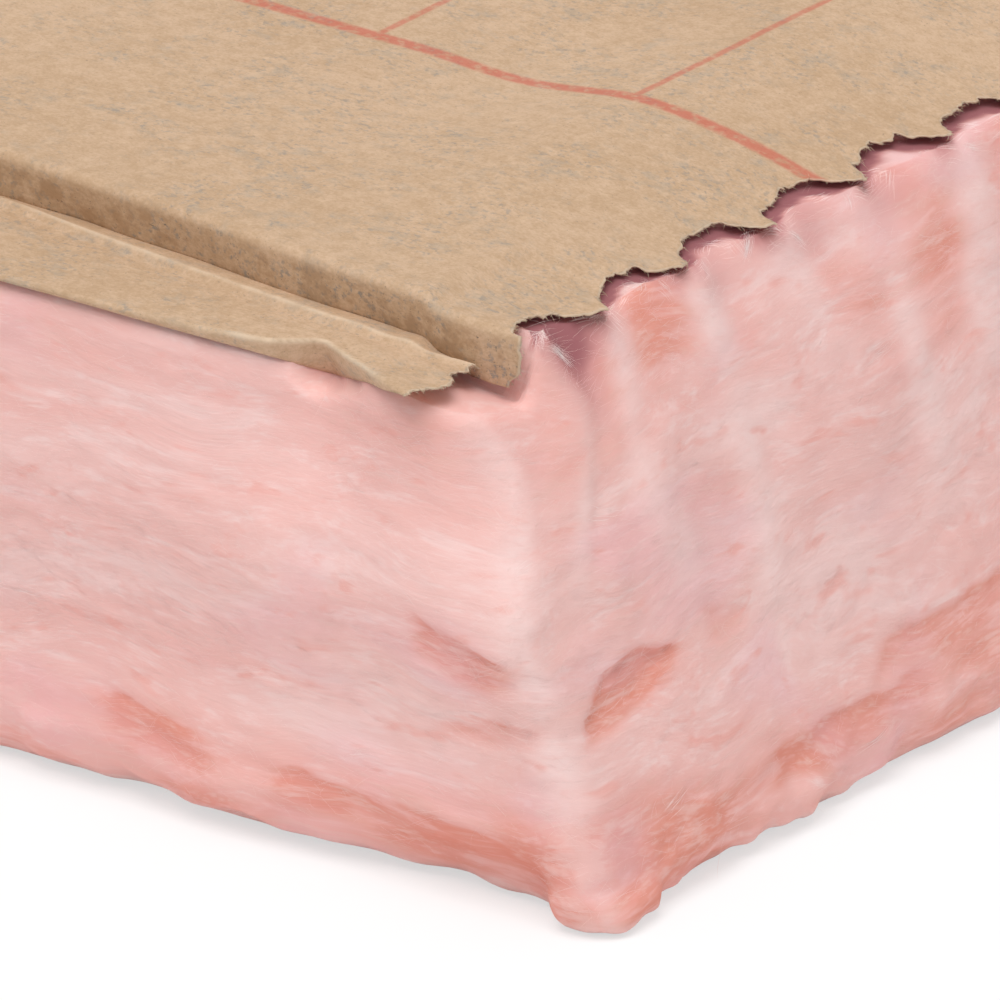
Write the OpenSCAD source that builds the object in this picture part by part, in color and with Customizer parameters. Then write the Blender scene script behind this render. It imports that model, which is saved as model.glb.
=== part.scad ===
// Kraft-faced glass wool batt: a soft blanket of glass fibre, with a sheet of kraft paper on its
// upper face. The sheet is pleated along both sides, so that a stapling tab lies on each edge.
// Millimetres. +X runs along the batt and +Z points out of the facing.

/* [Batt] */
// Length of the facing, from tooth tip to tooth tip
batt_length = 2362; // [400:1:2800]
// Width of the batt, which fills the space between two studs
batt_width = 381; // [200:1:620]
// Thickness of the batt, over the panel of the facing
batt_thickness = 89; // [60:1:300]
// Radius of the soft lower edges, on all four sides
lower_edge_radius = 12; // [4:0.5:24]
// Radius of the soft upper edges, under the tabs
upper_edge_radius = 3; // [1:0.5:5]
// How far each side swells at mid height
side_swell = 3; // [0.5:0.5:6]

/* [Facing] */
// Thickness of the kraft paper with its bitumen coat
paper_thickness = 0.4; // [0.2:0.05:0.8]
// Width of each stapling tab, from the roll of the panel to the free edge
tab_width = 22; // [16:0.5:32]
// Height of the roll where the panel turns under
roll_height = 6; // [3:0.5:12]
// Depth of the pleat that is tucked under the panel
pleat_depth = 10; // [5:0.5:20]
// Gap between the two leaves of the pleat
pleat_gap = 0.8; // [0.4:0.1:2]
// How far the crease of each tab lies outside the roll
crease_offset = 2; // [1:0.5:4]
// Width of the crease
crease_width = 2; // [1:0.5:4]
// Drop of the tab over its crease
crease_drop = 0.8; // [0.2:0.1:2]

/* [Cut ends] */
// Spacing of the blade's teeth
tooth_pitch = 20; // [12:0.5:40]
// Depth of the notches that the teeth tear in the facing
notch_depth = 6; // [2:0.5:10]
// Width of the blunt tip of each paper tooth, and of each notch
tooth_flat = 3; // [1:0.5:5]
// Depth of the flutes that the teeth leave in the wool
flute_depth = 4; // [1:0.5:8]
// How far the wool stands back from the tooth tips, under the facing
wool_setback = 3; // [1:0.5:8]
// How far the foot of each cut end stands out beyond its top
end_lean = 16; // [0:0.5:24]

/* [Hidden] */

// Steps that draw each round stretch of an outline
roll_steps = 10;
fold_steps = 6;
edge_steps = 6;
swell_steps = 8;
flute_steps = 6;

// Radii of the pleated sheet's middle line
roll_radius = (roll_height - paper_thickness) / 2;
fold_radius = (pleat_gap + paper_thickness) / 2;

// Heights of the sheet's middle line
panel_z = batt_thickness - paper_thickness / 2;
under_roll_z = panel_z - 2 * roll_radius;
pleat_z = under_roll_z - 2 * fold_radius;
tab_z = pleat_z - crease_drop;

// Places across the batt, to one side of its middle
edge_y = batt_width / 2;
roll_y = edge_y - tab_width - roll_height / 2;
fold_y = roll_y - pleat_depth;
crease_y = edge_y - tab_width + crease_offset;

// The wool's upper corner, and its side at the top and the bottom of the swell
wool_top_z = tab_z - paper_thickness / 2;
wool_side_y = edge_y - side_swell;

// Teeth across the whole width, and where the lobes of the wool's end lie at its top and above its foot
tooth_count = round(batt_width / tooth_pitch);
tooth_width = batt_width / tooth_count;
wool_end_x = batt_length / 2 - wool_setback;
wool_foot_x = wool_end_x + end_lean * (1 - lower_edge_radius / batt_thickness);

function unit(v) = v / norm(v);
function left_normal(d) = [-d.y, d.x];
function reversed(list) = [for (i = [len(list) - 1:-1:0]) list[i]];
function mirrored(list) = [for (p = reversed(list)) [-p.x, p.y]];

// Points on an arc about a centre, from one angle to another
function arc(centre, radius, from, to, steps) = [
    for (i = [0:steps])
        let (a = from + (to - from) * i / steps)
            centre + radius * [cos(a), sin(a)]
];

// A shallow arc that swells outwards between two points of one height line
function swell(x, low, high, rise, steps) =
    let (
        half = (high - low) / 2,
        radius = (half * half + rise * rise) / (2 * rise),
        reach = asin(half / radius)
    )
    arc([x + rise - radius, low + half], radius, reach, -reach, steps);

// An open path moved sideways, with mitred corners; positive is to its left
function moved(path, by) = [
    for (i = [0:len(path) - 1])
        let (
            before = unit(i == 0 ? path[1] - path[0] : path[i] - path[i - 1]),
            after = unit(i == len(path) - 1 ? path[i] - path[i - 1] : path[i + 1] - path[i]),
            n0 = left_normal(before),
            n1 = left_normal(after)
        )
        path[i] + by * (n0 + n1) / (1 + n0 * n1)
];

// Middle line of the sheet on one side: over the roll, into the pleat and out along the tab
half_sheet = concat(
    arc([roll_y, panel_z - roll_radius], roll_radius, 90, -90, roll_steps),
    arc([fold_y, under_roll_z - fold_radius], fold_radius, 90, 270, fold_steps),
    [[crease_y, pleat_z], [crease_y + crease_width, tab_z], [edge_y, tab_z]]
);
sheet_line = concat(mirrored(half_sheet), half_sheet);
sheet_upper = moved(sheet_line, paper_thickness / 2);
sheet_under = moved(sheet_line, -paper_thickness / 2);

// Side of the wool, from under the tab down to its resting face
wool_side = concat(
    arc([wool_side_y - upper_edge_radius, wool_top_z - upper_edge_radius],
        upper_edge_radius, 90, 0, edge_steps),
    swell(wool_side_y, lower_edge_radius, wool_top_z - upper_edge_radius, side_swell, swell_steps),
    arc([wool_side_y - lower_edge_radius, lower_edge_radius],
        lower_edge_radius, 0, -90, edge_steps)
);

// The wool's upper outline is the sheet's underside, without the tabs' free edges
wool_upper = [for (i = [1:len(sheet_under) - 2]) sheet_under[i]];

module sheet_section() {
    polygon(concat(sheet_upper, reversed(sheet_under)));
}

module wool_section() {
    polygon(concat(wool_upper, wool_side, mirrored(wool_side)));
}

// A section in Y and Z, drawn out along the batt
module along_batt(length) {
    rotate([90, 0, 90])
        linear_extrude(height = length, center = true)
            children();
}

// One end of the torn sheet: blunt teeth between blunt notches
function torn_end(tip_x) = [
    for (i = [0:tooth_count - 1])
        let (
            start = -edge_y + i * tooth_width,
            slope = tooth_width / 2 - tooth_flat
        )
        for (p = [
            [0, tooth_flat / 2],
            [notch_depth, tooth_flat / 2 + slope],
            [notch_depth, tooth_flat * 3 / 2 + slope],
            [0, tooth_flat * 3 / 2 + 2 * slope]
        ])
            [tip_x - notch_depth + p.x, start + p.y]
];

// One end of the wool: a round lobe behind each tooth, and a flute between
function fluted_end(tip_x) = [
    for (i = [0:tooth_count - 1], k = [0:flute_steps - 1])
        let (share = k / flute_steps)
        [tip_x - flute_depth * (1 - sin(180 * share)), -edge_y + (i + share) * tooth_width]
];

// The plan of the sheet, with the same torn end at both ends of the batt
module torn_plan() {
    butt_x = batt_length / 2 - notch_depth;
    far_end = concat([[butt_x, -edge_y]], torn_end(batt_length / 2), [[butt_x, edge_y]]);
    linear_extrude(height = batt_thickness)
        polygon(concat(far_end, [for (p = far_end) -p]));
}

// The plan of the wool up to one cut end, which leans out towards its foot
module leaning_plan() {
    butt_x = wool_end_x - flute_depth;
    far_end = concat([[butt_x, -edge_y]], fluted_end(wool_end_x), [[butt_x, edge_y]]);
    back_x = -batt_length;
    lean = end_lean / batt_thickness;
    multmatrix([[1, 0, -lean, end_lean], [0, 1, 0, 0], [0, 0, 1, 0]])
        linear_extrude(height = batt_thickness)
            polygon(concat([[back_x, -edge_y]], far_end, [[back_x, edge_y]]));
}

// The wool seen from the side, with its lower end edges rounded
module wool_profile() {
    lower_end = arc([wool_foot_x - lower_edge_radius, lower_edge_radius],
        lower_edge_radius, -90, 0, edge_steps);
    upper_end = [[wool_foot_x, batt_thickness]];
    far_end = concat(lower_end, upper_end);
    rotate([90, 0, 0])
        linear_extrude(height = batt_width, center = true)
            polygon(concat(far_end, mirrored(far_end)));
}

module glass_wool_batt() {
    color("pink")
        intersection() {
            along_batt(2 * wool_foot_x) wool_section();
            leaning_plan();
            mirror([1, 0, 0]) leaning_plan();
            wool_profile();
        }
}

module kraft_facing() {
    color("burlywood")
        intersection() {
            along_batt(batt_length) sheet_section();
            torn_plan();
        }
}

glass_wool_batt();
kraft_facing();
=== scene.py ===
import math

import bmesh
import bpy
import numpy as np
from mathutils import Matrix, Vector, bvhtree, noise


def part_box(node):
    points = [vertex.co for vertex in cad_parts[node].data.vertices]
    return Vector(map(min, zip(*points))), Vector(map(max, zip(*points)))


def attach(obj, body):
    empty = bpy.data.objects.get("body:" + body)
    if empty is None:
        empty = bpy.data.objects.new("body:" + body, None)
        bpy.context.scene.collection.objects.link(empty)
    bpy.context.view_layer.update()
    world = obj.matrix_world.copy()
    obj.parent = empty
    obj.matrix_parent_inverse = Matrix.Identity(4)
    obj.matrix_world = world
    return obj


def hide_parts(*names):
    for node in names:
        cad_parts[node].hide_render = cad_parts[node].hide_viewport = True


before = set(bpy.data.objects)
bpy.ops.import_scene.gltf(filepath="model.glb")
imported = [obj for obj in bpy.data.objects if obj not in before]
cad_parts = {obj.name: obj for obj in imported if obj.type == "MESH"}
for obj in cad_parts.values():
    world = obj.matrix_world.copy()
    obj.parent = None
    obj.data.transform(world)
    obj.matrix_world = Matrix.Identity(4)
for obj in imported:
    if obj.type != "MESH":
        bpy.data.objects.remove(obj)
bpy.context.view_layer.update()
mm = 0.001

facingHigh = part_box("kraft_facing")[1]
endX = facingHigh.x / mm    # the tooth tips of the paper, in millimetres
edgeY = facingHigh.y / mm   # the free edges of the tabs
topZ = facingHigh.z / mm    # the upper face of the panel
farSeed = 40.0              # the far end's tear differs from the near one's


# small helpers, all in millimetres

def smooth(low, high, value):
    share = min(1.0, max(0.0, (value - low) / (high - low)))
    return share * share * (3 - 2 * share)


def bell(distance, spread):
    return math.exp(-(distance / spread) ** 2)


def wave(x, y, z, seed=0.0):
    return noise.noise(Vector((x + seed, y - 2.3 * seed, z + 0.7 * seed)))


def graded(total, fine, fineLength, growth, coarse, last):
    # steps that start fine, grow to coarse, and end fine again
    places = [0.0]
    step = fine
    while places[-1] < total - last * 3:
        if places[-1] > fineLength:
            step = min(coarse, step * growth)
        left = total - places[-1]
        places.append(places[-1] + min(step, max(last, left * 0.4)))
    places.append(total)
    return places


def direction(azimuth, elevation):
    # from the batt out into the room, in degrees; 0, 0 faces the near side
    a = math.radians(azimuth)
    e = math.radians(elevation)
    return Vector((math.sin(a) * math.cos(e), -math.cos(a) * math.cos(e), math.sin(e)))


def newObject(name, mesh, material):
    piece = bpy.data.objects.new(name, mesh)
    bpy.context.scene.collection.objects.link(piece)
    mesh.materials.append(material)
    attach(piece, "root")
    return piece


def pieceFrom(shape, name, material):
    bmesh.ops.recalc_face_normals(shape, faces=shape.faces)
    mesh = bpy.data.meshes.new(name)
    shape.to_mesh(mesh)
    shape.free()
    mesh.shade_smooth()
    return newObject(name, mesh, material)


# a socket with arithmetic, and one maker for every other node

class Wire:
    def __init__(self, graph, socket):
        self.graph = graph
        self.socket = socket

    def math(self, operation, *others):
        return self.graph.make("ShaderNodeMath", {"operation": operation}, [self, *others])

    def __add__(self, other):
        return self.math("ADD", other)

    __radd__ = __add__

    def __sub__(self, other):
        return self.math("SUBTRACT", other)

    def __rsub__(self, other):
        return self.graph.make("ShaderNodeMath", {"operation": "SUBTRACT"}, [other, self])

    def __mul__(self, other):
        return self.math("MULTIPLY", other)

    __rmul__ = __mul__

    def __truediv__(self, other):
        return self.math("DIVIDE", other)

    def __rtruediv__(self, other):
        return self.graph.make("ShaderNodeMath", {"operation": "DIVIDE"}, [other, self])

    def __abs__(self):
        return self.math("ABSOLUTE")

    def between(self, low, high, start=0.0, end=1.0):
        values = {"Value": self, "From Min": low, "From Max": high, "To Min": start, "To Max": end}
        return self.graph.make("ShaderNodeMapRange", {"interpolation_type": "SMOOTHSTEP"}, values)


class Graph:
    def __init__(self, owner):
        self.owner = owner      # a material, or the world
        owner.use_nodes = True
        self.tree = owner.node_tree

    def find(self, kind):
        return next(n for n in self.tree.nodes if n.type == kind)

    def node(self, kind, settings, values):
        made = self.tree.nodes.new(kind)
        for name, value in settings.items():
            setattr(made, name, value)
        pairs = values.items() if isinstance(values, dict) else enumerate(values)
        for key, value in pairs:
            self.put(made.inputs[key], value)
        return made

    def put(self, socket, value):
        if isinstance(value, Wire):
            self.tree.links.new(value.socket, socket)
        else:
            socket.default_value = value

    def make(self, kind, settings, values, out=0):
        return Wire(self, self.node(kind, settings, values).outputs[out])

    def place(self, scale=(1, 1, 1), turn=(0, 0, 0), shift=(0, 0, 0)):
        # object coordinates, turned from metres into patterns per millimetre
        here = self.make("ShaderNodeTexCoord", {}, {}, "Object")
        size = tuple(1000 * s for s in scale)
        return self.make("ShaderNodeMapping", {"vector_type": "POINT"},
                         {"Vector": here, "Location": shift, "Rotation": turn, "Scale": size})

    def noise(self, where, detail=3.0, rough=0.5, out=0):
        values = {"Vector": where, "Scale": 1.0, "Detail": detail, "Roughness": rough}
        return self.make("ShaderNodeTexNoise", {}, values, out)

    def mix(self, share, a, b):
        return self.make("ShaderNodeMix", {"data_type": "RGBA"}, {"Factor": share, 6: a, 7: b}, 2)

    def attribute(self, name):
        return self.make("ShaderNodeAttribute", {"attribute_name": name}, {}, "Fac")

    def axes(self):
        # millimetres along the batt and across it
        here = self.make("ShaderNodeTexCoord", {}, {}, "Object")
        split = self.node("ShaderNodeSeparateXYZ", {}, {"Vector": here})
        return [Wire(self, split.outputs[i]) * 1000 for i in range(2)]

    def seen(self):
        # 1 for rays that show the surround: straight on, in a gloss or through glass
        path = self.node("ShaderNodeLightPath", {}, {})
        rays = Wire(self, path.outputs["Is Camera Ray"])
        for name in ("Is Glossy Ray", "Is Transmission Ray"):
            rays = rays.math("MAXIMUM", Wire(self, path.outputs[name]))
        return rays

    def finish(self, **values):
        shader = self.find("BSDF_PRINCIPLED")
        for name, value in values.items():
            self.put(shader.inputs[name.replace("_", " ")], value)
        return self.owner


# camera at the photo's angle, on the near corner of the batt
camera = {"azimuth": 36.8, "elevation": 22.4, "distance": 2.852, "lens": 720, "sensor": 36,
          "clip": (0.05, 100), "target": (1.1907, -0.1899, 0.0685)}

towards = direction(camera["azimuth"], camera["elevation"])
cameraData = bpy.data.cameras.new("camera")
cameraData.lens = camera["lens"]
cameraData.sensor_width = camera["sensor"]
cameraData.clip_start, cameraData.clip_end = camera["clip"]
cameraObject = bpy.data.objects.new("camera", cameraData)
cameraObject.location = Vector(camera["target"]) + towards * camera["distance"]
cameraObject.rotation_euler = (-towards).to_track_quat("-Z", "Y").to_euler()
bpy.context.scene.collection.objects.link(cameraObject)
bpy.context.scene.camera = cameraObject
print("camera is set")


# the paper's folds, after the construction, and how the sheet lies on the wool
facing = {
    "thickness": 0.25, "tab": 22.0, "roll": 7.2, "pleat": 10.0, "gap": 0.3,
    "brow": 1.5, "heel": 0.2, "tuck": 0.1, "lean": 0.9,   # the panel's edge and the face below it
    "creaseOffset": 2.8, "creaseWidth": 1.2, "creaseDrop": 0.5, "creaseLip": 0.45,
    "droop": 4.8, "droopLength": 14.0, "droopCurve": 1.6,   # how the cut end bends down
    "waves": ((0.6, 70, 55, 3.1), (0.2, 21, 17, 8.4)),      # height, run along, run across, seed
    "hump": (1.3, 35.0, 12.0), "dip": (-1.2, 59.0, 13.0),   # near waves: height, distance in, spread
    "crossCrease": (0.35, 17.5, 2.0), "sag": 0.9, "crush": 0.9,   # by the near corner
    "tongue": 2.2, "tongueLength": 9.0, "faceSway": 1.1,   # the pleat's face hangs past the torn tab
    "pitch": 21.4, "tip": -153.8, "tipReach": 2.6, "notch": 6.4, "notchVary": 0.5,   # torn teeth
    "wander": 1.6, "fray": 0.55, "bite": 1.2, "curl": 0.8, "tearLength": 22.0,       # their ragged edge
    "ragged": ((1.1, 2.8, 4.2), (0.9, 1.1, 9.1), (0.6, 0.4, 5.3)),    # height, run, seed
    "bend": 115.0, "bendSpan": 18.0, "rimSlope": 1.95,   # the tab's edge where it is bent down
    "rows": {"fine": 0.9, "fineLength": 48.0, "growth": 1.08, "coarse": 30.0, "last": 1.5},
    "nearStep": 0.85, "farStep": 3.0, "panelStep": (0.9, 4.5), "finePanel": -50,
}
# share of the droop, by distance from the middle of the batt
droopShare = [(0, 0.95), (114, 1.0), (135, 0.87), (154, 0.78), (168, 0.3), (175, 0.2), (190.5, 0.12)]
# near corner, by distance from the cut end: bent edge's width, fold's drift along Y, crease to fold
bentEdge = [(0, 0.3), (9, 0.5), (29, 9.6), (35, 4.4), (47, 2.4), (70, 1.2), (95, 0.5), (400, 0.3)]
foldDrift = [(0, -5.0), (10, -6.0), (70, 0.1), (97, 2.4), (180, 1.5), (320, 0)]
creasePath = [(0, 0.5), (8, 1.2), (16, 2.6), (26, 3.0), (40, 2.9), (60, 2.7), (75, 2.2), (95, 0.8),
              (400, 0.6)]
# one tooth along Y: share of the pitch, share of the notch depth
toothShape = [(0, -0.16), (0.03, -0.3), (0.13, -0.72), (0.45, -1.0), (0.66, -0.88), (0.9, -0.2),
              (1.0, -0.16)]
# the near tab's torn end: place along Y, reach past the cut
tabTear = [(-190.5, -6.7), (-185, -5.6), (-180, -4.4), (-176, -6.6), (-168, -6.4)]


def follow(points, place):
    knots, heights = zip(*points)
    return float(np.interp(place, knots, heights))


def curve(points, soften):
    step = 0.5
    knots, heights = zip(*points)
    low = knots[0]
    places = np.arange(low, knots[-1] + step, step)
    shifted = [np.interp(places + s, knots, heights) for s in np.linspace(-soften, soften, 9)]
    values = [float(v) for v in np.mean(shifted, axis=0)]

    def at(place):
        place = min(max((place - low) / step, 0.0), len(values) - 1.001)
        index = int(place)
        return values[index] + (values[index + 1] - values[index]) * (place - index)

    return at


bentWidth = curve(bentEdge, 1.0)


def droop(x, y):
    # both cut ends bend down over the wool, the tabs less than the panel
    inside = max(endX - abs(x), 0.0)
    share = follow(droopShare, abs(y))
    return facing["droop"] * share * math.exp(-(inside / facing["droopLength"]) ** facing["droopCurve"])


def drape(x, y):
    # slow waves of the sheet and of the wool right under it
    rise = 0.0
    for height, runX, runY, seed in facing["waves"]:
        rise += height * wave(x / runX, y / runY, 0, seed)
    if x > 0:
        share = smooth(-158, -115, y) * (0.75 + 0.5 * wave(y / 60, 0, 0, 21.0))
        for height, place, spread in (facing["hump"], facing["dip"]):
            rise += height * share * bell(endX - x - place, spread)
    return rise - droop(x, y)


def drift(x, y):
    # the near fold wanders, while the free edge and the middle of the panel stay
    if x < 0 or y > 0:
        return 0.0
    inner = edgeY - facing["tab"]
    share = smooth(edgeY, inner + 4, -y) * smooth(inner - 90, inner - 14, -y)
    return follow(foldDrift, endX - x) * share


def toothReach(y, seed):
    # 0 at a tooth tip, down to minus the notch depth
    shifted = y + facing["wander"] * wave(y / 13, seed, 0.5)
    place = (shifted - facing["tip"]) / facing["pitch"]
    size = facing["notch"] * (1 + facing["notchVary"] * wave(math.floor(place) * 3.7, seed, 1.5))
    return size * follow(toothShape, place - math.floor(place))


def tear(y, seed):
    # fine ragged outline of the tear
    rough = sum(height * wave(y / run, seed, layer) for height, run, layer in facing["ragged"])
    bites = 0.4 - facing["bite"] * abs(wave(y / 3.6, seed, 6.4))
    return facing["tipReach"] + toothReach(y, seed) + bites + facing["fray"] * rough


def tabEnd(y):
    # the near tab is torn off shorter than the panel
    return follow(tabTear, y) + 0.8 * wave(y / 1.6, 0.4, 2) + 0.6 * wave(y / 0.6, 3, 2)


def arcPoints(centre, radius, start, end, steps):
    angles = [math.radians(start + (end - start) * k / steps) for k in range(steps + 1)]
    return [(centre[0] + radius * math.cos(a), centre[1] + radius * math.sin(a)) for a in angles]


def linePoints(start, end, step):
    count = max(1, round(math.hypot(end[0] - start[0], end[1] - start[1]) / step))
    shares = [k / count for k in range(1, count + 1)]
    return [(start[0] + (end[0] - start[0]) * s, start[1] + (end[1] - start[1]) * s) for s in shares]


def sheetPath():
    # middle line of the sheet in Y and Z, from the near free edge to the far one, and places along it
    half = facing["thickness"] / 2
    foldRadius = (facing["gap"] + facing["thickness"]) / 2
    panelZ = topZ - half
    underZ = panelZ - facing["roll"] + facing["thickness"]
    pleatZ = underZ - 2 * foldRadius
    tabZ = pleatZ - facing["creaseDrop"]
    rollY = edgeY - facing["tab"]
    foldY = rollY - facing["pleat"]
    creaseY = rollY + facing["creaseOffset"]
    brow, heel, lean = facing["brow"], facing["heel"], facing["lean"]

    def side(step, count):
        places = {}
        points = [(edgeY, tabZ)]
        points += linePoints(points[-1], (creaseY + facing["creaseWidth"], tabZ), step)
        points += linePoints(points[-1], (creaseY, pleatZ + facing["creaseLip"]), step * 0.6)
        places["crease"] = len(points) - 1
        points += linePoints(points[-1], (rollY - lean, pleatZ), step)
        points += linePoints(points[-1], (foldY, pleatZ), step * 2)
        points += arcPoints((foldY, underZ - foldRadius), foldRadius, 270, 90, 4)[1:]
        places["fold"] = len(points) - 3
        heelY = rollY - lean - heel
        points += linePoints(points[-1], (heelY, underZ), step * 2)
        points += arcPoints((heelY, underZ + heel - facing["gap"] - facing["tuck"]), heel, -90, 0, 3)[1:]
        places["heel"] = len(points) - 1
        points += linePoints(points[-1], (rollY, panelZ - brow), step)
        points += arcPoints((rollY - brow, panelZ - brow), brow, 0, 90, count)[1:]
        places["brow"] = len(points) - 1
        return points, places

    near, places = side(facing["nearStep"], 6)
    near = [(-y, z) for y, z in near]
    far = side(facing["farStep"], 4)[0][::-1]
    fineStep, coarseStep = facing["panelStep"]
    panel = linePoints(near[-1], (facing["finePanel"], panelZ), fineStep)
    panel += linePoints(panel[-1], far[0], coarseStep)
    return near + panel[:-1] + far, places


sheetLine, sheetPlaces = sheetPath()


def sheetPoint(place):
    index = min(int(place), len(sheetLine) - 2)
    share = place - index
    return [sheetLine[index][axis] * (1 - share) + sheetLine[index + 1][axis] * share for axis in (0, 1)]


def stripOf(width):
    # length of the bent strip that takes up this width of the tab
    turn = math.radians(facing["bend"])
    return width / (math.cos(turn) + facing["rimSlope"] * math.sin(turn))


def tabHeight(x):
    return sheetLine[0][1] + drape(x, -edgeY)


def bendEdge(x, y, z):
    # a strip of the tab's edge is bent down; its lower rim keeps to the line of the tab
    width = bentWidth(endX - x)
    turn = math.radians(facing["bend"])
    strip = stripOf(width)
    span = facing["bendSpan"]
    along = y + edgeY
    hinge = smooth(1.0, 0.3, abs(along - strip)) * smooth(1.5, 4, width)
    if along < strip:
        past = strip - along
        return -edgeY + width - past * math.cos(turn), z - past * math.sin(turn), hinge
    if along < span:
        y = -edgeY + width + (along - strip) * (span - width) / (span - strip)
    return y, z, hinge


def crumple(x, y):
    # a cross crease where the panel bends down by the near corner, and a crushed tab end
    inside = endX - x
    if x < 0 or y > -130 or inside > 40:
        return 0.0
    height, place, spread = facing["crossCrease"]
    reach = smooth(-138, -147, y) * smooth(-174, -168, y)
    crease = height * bell(inside - place, spread) - facing["sag"] * smooth(place - 1, place - 4, inside)
    crushed = smooth(-167, -172, y) * smooth(34, 12, inside)
    return crease * reach + facing["crush"] * crushed * wave(x / 7, y / 6, 0, 12.0)


def tabCrease(x, y):
    # moves the crease along the near tab closer to the fold or away from it
    inner = edgeY - facing["tab"]
    if x < 0 or y > -inner:
        return y
    offset = follow(creasePath, endX - x)
    places = [(0, 0), (facing["creaseOffset"], offset), (facing["tab"], facing["tab"])]
    return -inner - follow(places, -y - inner)


def makeFacing(material):
    rows = graded(2 * endX, **facing["rows"])
    rows = [2 * endX - d for d in rows][::-1]      # from the far end to the near end
    sheet = bmesh.new()
    bmesh.ops.create_grid(sheet, x_segments=len(rows) - 1, y_segments=len(sheetLine) - 1, size=1)
    tearLayer = sheet.verts.layers.float.new("tear")
    wearHighlightLayer = sheet.verts.layers.float.new("wear_and_highlight")
    pleatShadeLayer = sheet.verts.layers.float.new("pleat_face_shade")
    # finer outline along the near torn end
    edgeRow = [e for e in sheet.edges if all(v.co.x > 1 - 1e-4 for v in e.verts)]
    edgeRow = [e for e in edgeRow if min(v.co.y for v in e.verts) < 0.7]
    bmesh.ops.subdivide_edges(sheet, edges=edgeRow, cuts=2)
    crease, fold, heel, brow = (sheetPlaces[k] for k in ("crease", "fold", "heel", "brow"))
    curl = facing["curl"]
    for v in sheet.verts:
        row = (v.co.x + 1) / 2 * (len(rows) - 1)
        index = min(int(row), len(rows) - 2)
        x = rows[index] + (rows[index + 1] - rows[index]) * (row - index) - endX
        inside = endX - abs(x)
        place = (v.co.y + 1) / 2 * (len(sheetLine) - 1)
        y, z = sheetPoint(place)
        near = x > 0 and y < 0
        # a pale line along the crease, partly rubbed fibres and partly painted highlight on its ridge
        wear_and_highlight = math.exp(-(place - crease) ** 2 * 2) * smooth(120, 80, inside) * near
        cutBack = tear(y + drift(x, y), 0.0 if x > 0 else farSeed)
        if near and place < fold:
            cutBack = tabEnd(y)
        # how far down the pleat's face, which hangs past the torn tab
        low = max(0.0, (topZ - z) / facing["roll"] - 0.1) * smooth(fold, heel, place) * (fold < place < brow)
        if near and low > 0:
            z -= facing["tongue"] * low * smooth(facing["tongueLength"], 1, inside)
            cutBack = 1.0 - 3.0 * smooth(0.5, 1.0, low) + 0.8 * wave(z / 1.5, 0.7, 4)
            cutBack -= 7.0 * smooth(heel, heel - 3, place)
        v[tearLayer] = inside
        # painted shade on the pleat's face
        v[pleatShadeLayer] = smooth(0.0, 0.35, low)
        shift = cutBack * max(0.0, 1 - inside / facing["tearLength"])
        x += shift if x > 0 else -shift
        if near:
            y -= facing["faceSway"] * low * wave(x / 16, 0, 0, 44.0)
        z += drape(x, y) + crumple(x, y)
        if abs(y) < edgeY - facing["tab"] and place > brow:
            z += curl * wave(y / 3.4, x / 6, 0, 51.0) * smooth(6, 0, inside)
            z += 0.6 * curl * wave(y / 1.3, x / 3, 0, 53.0) * smooth(2.5, 0, inside)
            y += 0.8 * wave(y / 2.4, 3, 0, 61.0) * smooth(3, 0, inside)
        y = tabCrease(x, y)
        y += drift(x, y)
        if near and y < -edgeY + facing["bendSpan"]:
            y, z, hinge = bendEdge(x, y, z)
            # the bent edge's hinge gets the same pale line, partly painted highlight
            wear_and_highlight = max(wear_and_highlight, hinge)
        v[wearHighlightLayer] = wear_and_highlight
        v.co = Vector((x, y, z)) * mm
    piece = pieceFrom(sheet, "kraft_paper_facing", material)
    thick = piece.modifiers.new("paper thickness", "SOLIDIFY")
    thick.thickness = facing["thickness"] * mm
    thick.offset = 0
    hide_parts("kraft_facing")
    return piece


# the wool: soft edges, ends that swell out past the paper, flutes from the blade, pulled layers and pockets
wool = {
    "fine": 1.1, "lowRadius": 13.0, "highRadius": 2.2,
    "sideInset": (0.5, 5.7),                # at the top, and how much more lower down
    "cave": 2.0, "gapPlace": -165.0, "gapSpread": 8, "dip": 0.6,      # hollows under the torn paper
    "flute": 0.8, "lump": 1.1, "puff": 0.7, "layer": 0.15, "rough": 0.25, "foot": 1.6,
    "nub": (2.4, 8.5, 17.0), "nubPlace": 16,    # the near corner's foot: reach, spread, height
    "waist": 6.5,                           # the dip beside it
    "sunk": 0.9, "sunkMore": 1.6, "tabLift": 1.7, "faceRoom": 2.4, "clear": 0.5,   # room under the paper
    "fade": 14,                             # blurs the step under the pleat, down the end face
}
# how far the near side's upper edge goes in towards the corner, by distance from the cut end
sideTop = curve([(-20, 11.5), (-6, 10.5), (2, 5.5), (9, 3.5), (16, 3.8), (24, 6.5), (30, 7.0), (36, 5.0),
                 (50, 2.2), (80, 0.4), (130, 0.0)], 4)
# radius of the upright edges, by height
cornerRadius = curve([(0, 6.5), (30, 6.0), (60, 6.0), (84, 4.0)], 6)
# how far the cut end stands out from the tooth tips, by height
endReach = curve([(0, 23.5), (20, 19.5), (40, 15.2), (58, 11.5), (68, 9.0), (75, 6.9), (80, 5.2), (84, 3.6),
                  (89, 1.2)], 3)
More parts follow.
